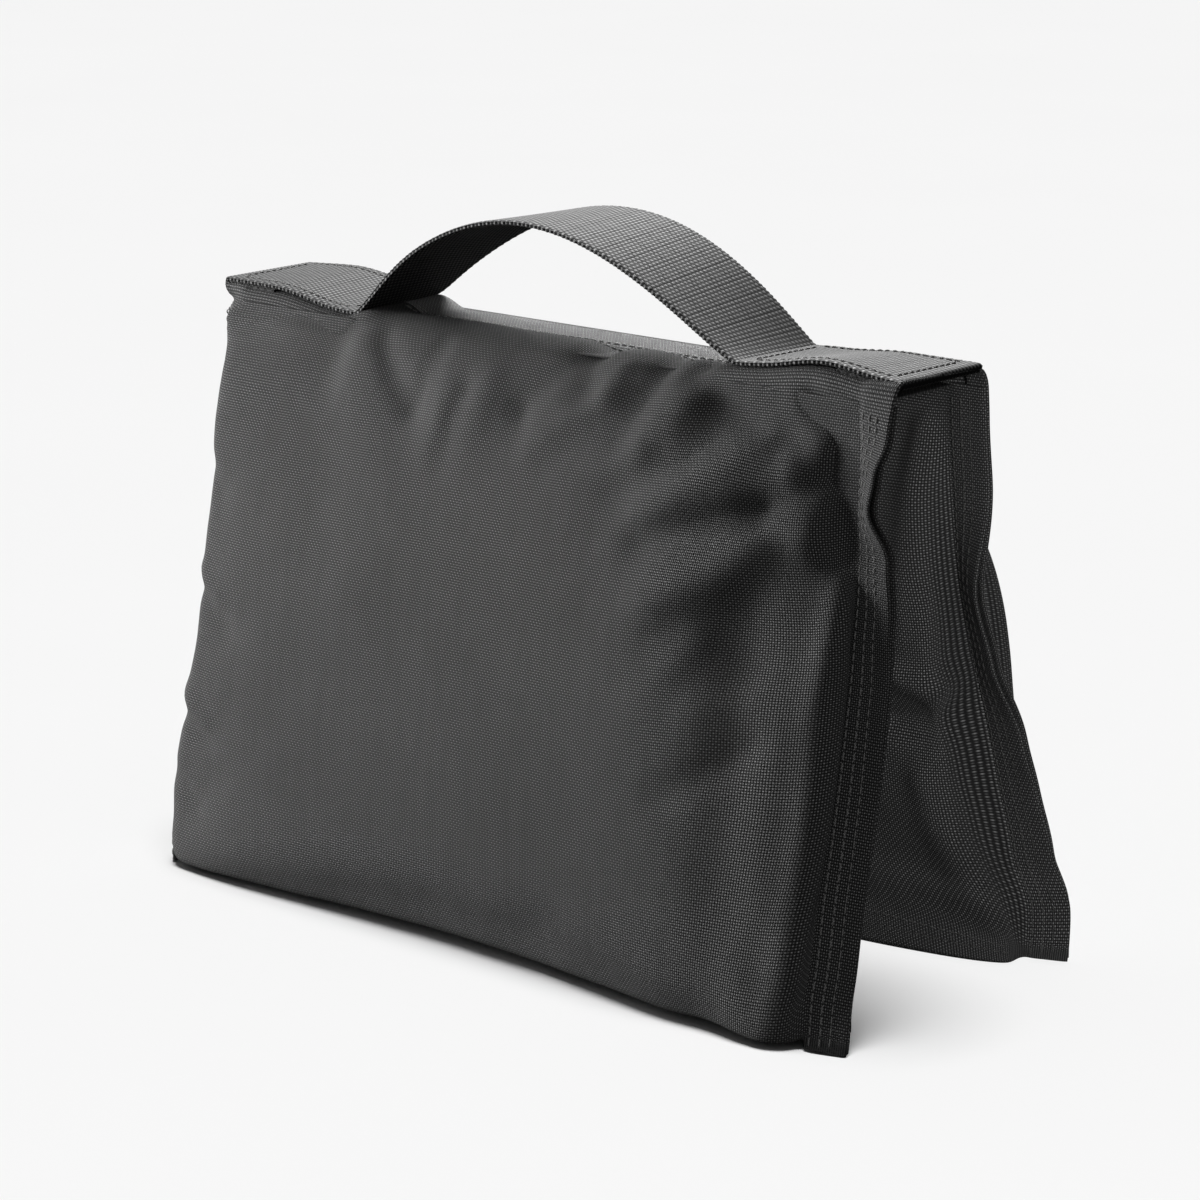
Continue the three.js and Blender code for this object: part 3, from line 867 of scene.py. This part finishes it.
# ================================================================ strap
def arch_height(x, front_share):
    """Middle height of the strap above its creases, higher at one edge on each side."""
    near = np.clip(1 - (x / TAB_START) ** 2, 0, None)
    rise = ARCH_TOP - 0.9 * MM - (TOP_Z + 1.7 * MM) - 1 * MM
    twist_front = -1.5 * MM - 0.085 * x
    twist_back = 1.0 * MM + 0.040 * x
    return rise * near ** 1.1 + near * (twist_front * front_share + twist_back * (1 - front_share))


def strap_height(x, front_share):
    """Height of the middle of the strap's thickness."""
    base = TOP_Z + 1.5 * MM
    turned_under = 1.9 * MM * smooth((np.abs(x) - 120 * MM) / (34 * MM))
    under_arch = smooth((np.abs(x) - 60 * MM) / (44 * MM))
    return (base + turned_under + arch_height(x, front_share)
            + tab_hump(x, front_share) * under_arch)


def strap_path():
    """(x, drop) along the strap's middle: a lower layer, a fold, the top, and the same again."""
    end = HALF_LENGTH - 1.6 * MM
    fold = 0.95 * MM
    lower = [(x, 2 * fold) for x in np.arange(154, end / MM, 1.0) * MM]
    turn = [(end + fold * math.sin(a), fold * (1 + math.cos(a)))
            for a in np.linspace(0, math.pi, 7)]
    top = [(x, 0.0) for x in np.linspace(end - 0.5 * MM, 0, 230)]
    half = np.array(lower + turn + top)
    mirrored = half[::-1][1:] * (-1, 1)
    return np.vstack([half, mirrored])


def strap():
    """One webbing strap: folded ends, two flat ends, sharp creases and the handle's arch."""
    step, width_step = 0.58 * MM, 0.55 * MM
    path = strap_path()
    middle = np.stack([path[:, 0], strap_height(path[:, 0], 0.5) - path[:, 1]], 1)
    along = distances(middle)
    count = int(along[-1] / step)
    at = np.linspace(0, along[-1], count)
    x = np.interp(at, along, path[:, 0])
    drop = np.interp(at, along, path[:, 1])
    across_count = int(2 * STRAP_HALF / width_step)
    c = np.linspace(-STRAP_HALF, STRAP_HALF, across_count)
    front_share = 0.5 - c / (2 * STRAP_HALF)
    xx, cc = np.meshgrid(x, c, indexing="ij")
    z = strap_height(xx, np.broadcast_to(front_share, xx.shape)) - drop[:, None]
    p = np.stack([xx, MID_Y + cc, z], 2)
    n = unit(np.cross(np.gradient(p, axis=1), np.gradient(p, axis=0)))
    # Beads: rows across the strap, each row moved on by half a bead.
    row_pitch, bead_pitch = 2.2 * MM, 2.12 * MM
    row = at / row_pitch
    shift = (np.floor(row) % 2)[:, None] * 0.5
    bead = np.abs(np.sin(math.pi * (cc / bead_pitch + shift)))
    rib = np.abs(np.sin(math.pi * row))[:, None]
    height = np.clip(bead ** 0.8 * rib ** 0.6, 0, 1)
    edge = smooth((STRAP_HALF - np.abs(cc)) / (0.9 * MM))
    thick = 0.45 * MM + 0.4 * MM * edge + 0.28 * MM * height
    wave = 0.30 * MM * np.sin(2 * math.pi * row)[:, None] * bump(np.abs(cc), STRAP_HALF, 1.2 * MM)
    p[..., 1] += wave * np.sign(cc)
    top, bottom = p + n * thick[..., None], p - n * thick[..., None]
    rows, cols = xx.shape
    order = quads(rows, cols)
    size = rows * cols
    rim = np.concatenate([np.arange(cols), np.arange(1, rows) * cols + cols - 1,
                          (rows - 1) * cols + np.arange(cols - 2, -1, -1),
                          np.arange(rows - 2, 0, -1) * cols])
    nxt = np.roll(rim, -1)
    sides = np.stack([rim, nxt, nxt + size, rim + size], 1)
    faces = np.vstack([order[:, ::-1], order + size, sides])
    uv = np.stack([np.broadcast_to(at[:, None], xx.shape), cc], 2)
    piece = new_object("webbing_strap", np.concatenate([top.reshape(-1, 3), bottom.reshape(-1, 3)]),
                       faces, np.concatenate([uv.reshape(-1, 2)] * 2))
    values = piece.data.attributes.new("bead", "FLOAT", "POINT")
    values.data.foreach_set("value", np.concatenate([height.ravel()] * 2).astype(np.float32))
    piece.data.materials.append(WEBBING)
    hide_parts("left_strap_end", "right_strap_end", "handle_strap")
    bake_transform(piece)
    return piece


def strap_surface(x, c):
    """Points on the strap's upper face."""
    share = 0.5 - c / (2 * STRAP_HALF)
    z = strap_height(x, share) + 1.05 * MM
    return np.stack([x, np.broadcast_to(MID_Y + c, x.shape), z], 1)


def box_thread(side, name):
    """The sewn box that holds a strap end."""
    near, far, inset = 110 * MM, HALF_LENGTH - 7 * MM, STRAP_HALF - 4.5 * MM
    lines = []
    for c in (-inset, inset):
        x = np.linspace(near, far, 40) * side
        lines.append(strap_surface(x, np.full(40, c)))
    for x_end in (near, far):
        c = np.linspace(-inset, inset, 24)
        lines.append(strap_surface(np.full(24, x_end * side), c))
    up = [(line, np.tile((0.0, 0, 1), (len(line), 1))) for line in lines]
    thread = dashes(f"{name}_box_thread", up, pitch=3.7 * MM, length=2.9 * MM, radius=0.42 * MM)
    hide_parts(f"{name}_box_stitches")
    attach(thread, SADDLE)


# ================================================================ bridge between the pouches
def bridge_lining():
    """The inner ply of the bridge: a flat strip under the top, sagging a little in its middle."""
    half_length, half_width = HALF_LENGTH - 12 * MM, 23 * MM
    x = np.linspace(-half_length, half_length, 90)
    c = np.linspace(-half_width, half_width, 15)
    xx, cc = np.meshgrid(x, c, indexing="ij")
    middle = 1 - (cc / half_width) ** 2
    sag = 1.2 * MM * middle * (1 - (xx / HALF_LENGTH) ** 2)
    ripple = start_ripple(np.stack([xx * 2, cc, cc * 3], 2), 11) * 1.2 * MM
    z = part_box("bridge_inner_ply")[0].z - 3.2 * MM - sag + ripple * middle
    p = np.stack([xx, MID_Y + cc, z], 2)
    piece = new_object("bridge_lining", p, quads(*xx.shape), np.stack([xx, cc], 2))
    soften(piece, 1, CLOTH)
    piece.data.materials.append(NYLON)
    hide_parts("bridge_inner_ply", "bridge_outer_ply")
    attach(piece, SADDLE)


def valley_thread(panel, name, row):
    """Stitches beside the valley, where the two pouches' top cloths meet."""
    columns = np.flatnonzero(np.abs(column_shares()) * SEAM_X < 98 * MM)
    thread = dashes(f"{name}_thread", [surface_line(panel, row, columns)])
    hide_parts(f"{name}_stitches")
    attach(thread, SADDLE)


# ================================================================ filling
def filling(outer, inner, name, inset, lowest_row, highest_row, side_gap, material, seed):
    """A closed body between a pouch's two panels, inset from both."""
    a = outer["final"][TOP_ROWS:]
    b = inner["final"]
    middle, half = (a + b) / 2, (a - b) / 2
    size = np.linalg.norm(half, axis=2)
    cols = np.flatnonzero(np.abs(column_shares()) * SEAM_X < SEAM_X - side_gap)
    rows = np.arange(highest_row, ROWS + 1 - lowest_row)
    size = size[np.ix_(rows, cols)]
    inside = np.clip(1 - inset / np.maximum(size, 1e-6), 0, 1)
    r = np.linspace(0, 1, len(rows))[:, None]
    c = np.linspace(-1, 1, len(cols))[None]
    close = np.minimum(smooth(r / 0.10), smooth((1 - r) / 0.05)) ** 0.5
    close = close * np.clip(1 - np.abs(c) ** 14, 0, 1) ** 0.5
    share = inside * close
    middle, half = middle[np.ix_(rows, cols)], half[np.ix_(rows, cols)]
    random = start_ripple(middle * 1.6, seed)
    share = share * (0.965 + 0.05 * random)
    front, back = middle + half * share[..., None], middle - half * share[..., None]
    count_r, count_c = len(rows), len(cols)
    size = count_r * count_c
    index = np.arange(size).reshape(count_r, count_c)
    rim = np.zeros((count_r, count_c), bool)
    rim[0] = rim[-1] = True
    rim[:, 0] = rim[:, -1] = True
    other = index + size
    other[rim] = index[rim]
    order = quads(count_r, count_c)
    behind = other.ravel()[order]
    points = np.concatenate([front.reshape(-1, 3), back.reshape(-1, 3)])
    faces = np.vstack([order, behind[:, ::-1]])
    used = np.unique(faces)
    renumber = np.zeros(len(points), np.int64)
    renumber[used] = np.arange(len(used))
    piece = new_object(f"{name}_body", points[used], renumber[faces], flip=outer["outward"] > 0)
    soften(piece, 1)
    piece.data.materials.append(material)
    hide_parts(name)
    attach(piece, outer["pouch"]["body"])
    return piece


# ================================================================ stage
def stage():
    """The floor and the even light around it; returns the floor."""
    mesh = bpy.data.meshes.new("floor")
    mesh.from_pydata([(-40, -40, 0), (40, -40, 0), (40, 40, 0), (-40, 40, 0)], [], [(0, 1, 2, 3)])
    floor = bpy.data.objects.new("floor", mesh)
    floor.data.materials.append(studio_floor())
    bpy.context.scene.collection.objects.link(floor)
    floor.visible_diffuse = floor.visible_glossy = False
    world = bpy.data.worlds.new("studio")
    world.use_nodes = True
    background = world.node_tree.nodes["Background"]
    background.inputs[1].default_value = AROUND
    place = world.node_tree.nodes.new("ShaderNodeTexCoord")
    split = world.node_tree.nodes.new("ShaderNodeSeparateXYZ")
    sky = world.node_tree.nodes.new("ShaderNodeMapRange")
    sky.inputs["From Min"].default_value = -0.2
    sky.inputs["From Max"].default_value = 0.3
    sky.inputs["To Min"].default_value = 0.04
    world.node_tree.links.new(place.outputs["Generated"], split.inputs[0])
    world.node_tree.links.new(split.outputs["Z"], sky.inputs["Value"])
    world.node_tree.links.new(sky.outputs[0], background.inputs[0])
    bpy.context.scene.world = world
    bpy.context.scene.view_settings.view_transform = "Standard"
    return floor


def place_light(data, name, place, target):
    light = bpy.data.objects.new(name, data)
    light.location = place
    light.rotation_euler = (Vector(target) - Vector(place)).to_track_quat("-Z", "Y").to_euler()
    bpy.context.scene.collection.objects.link(light)
    return light


def soft_light(name, place, target, size, power):
    """A soft box."""
    data = bpy.data.lights.new(name, "AREA")
    data.shape = "RECTANGLE"
    data.size, data.size_y = size
    data.energy = power
    return place_light(data, name, place, target)


def group(name, pieces):
    """A collection for light linking."""
    result = bpy.data.collections.new(name)
    for piece in pieces:
        result.objects.link(piece)
    return result


def floor_light(floor, shading, strength):
    """Even light from above that only the floor gets, with a soft shadow of one piece."""
    data = bpy.data.lights.new("floor_light", "SUN")
    data.energy = strength
    data.angle = math.radians(22)
    light = place_light(data, "floor_light", (0, 0, 3), (0, 0, 0))
    light.light_linking.receiver_collection = group("only_floor", [floor])
    light.light_linking.blocker_collection = group("shading_the_floor", [shading])


def shine_only_on(light, pieces):
    light.light_linking.receiver_collection = group(f"{light.name}_receivers", pieces)


def keep_off(light, pieces):
    """This light doesn't reach these pieces."""
    rest = group(f"{light.name}_exceptions", pieces)
    for member in rest.collection_objects:
        member.light_linking.link_state = "EXCLUDE"
    light.light_linking.receiver_collection = rest


def camera():
    """The photograph's view: round to the right and a little above."""
    azimuth, elevation, distance = math.radians(42.17), math.radians(14.10), 1.5357
    target = Vector((11.9 * MM, MID_Y, 136.2 * MM))
    back = Vector((math.sin(azimuth) * math.cos(elevation),
                   -math.cos(azimuth) * math.cos(elevation), math.sin(elevation)))
    data = bpy.data.cameras.new("camera")
    data.lens, data.sensor_width = 111.8, 36
    eye = bpy.data.objects.new("camera", data)
    eye.location = target + back * distance
    eye.rotation_mode = "QUATERNION"
    eye.rotation_quaternion = (-back).to_track_quat("-Z", "Y")
    bpy.context.scene.collection.objects.link(eye)
    bpy.context.scene.camera = eye


# ================================================================ build
camera()
floor = stage()

panels = make_panels()
by_name = {(p["side"], p["kind"]): p for p in panels}
for panel in panels:
    finish_panel(panel)
for side in POUCHES:
    bottom_thread(by_name[side, "inner"])
valley_thread(by_name["front", "outer"], "bridge_front", 1)
valley_thread(by_name["back", "outer"], "bridge_back", 1)
bridge_lining()
strap()
for side, name in ((1, "right"), (-1, "left")):
    box_thread(side, name)
for side in POUCHES:
    outer, inner = by_name[side, "outer"], by_name[side, "inner"]
    filling(outer, inner, f"{side}_liner_bag", 2.5 * MM, 3, 6, 16 * MM, FILM, 31)
    filling(outer, inner, f"{side}_sand_fill", 5.5 * MM, 5, 14, 24 * MM, SAND, 47)

pieces = bpy.context.scene.objects
floor_light(floor, pieces["front_outer_cloth"], 2.98)
key = soft_light("key", (-1.12, -0.60, 0.30), (0, -0.05, 0.08), (0.75, 0.75), 25)
back_light = soft_light("back_light", (-0.44, 0.68, 1.04), (0.10, 0.02, 0.20), (0.60, 0.60), 15)
fill = soft_light("fill", (1.05, -0.72, 0.40), (0.10, 0, 0.12), (0.50, 0.50), 2.2)
gap_light = soft_light("gap_light", (1.10, -0.75, 0.45), (0.14, 0.04, 0.12), (0.40, 0.40), 6)
keep_off(key, [floor])
keep_off(back_light, [floor])
keep_off(fill, [floor, pieces["webbing_strap"]])
shine_only_on(gap_light, [pieces["back_inner_cloth"], pieces["back_outer_cloth"]])
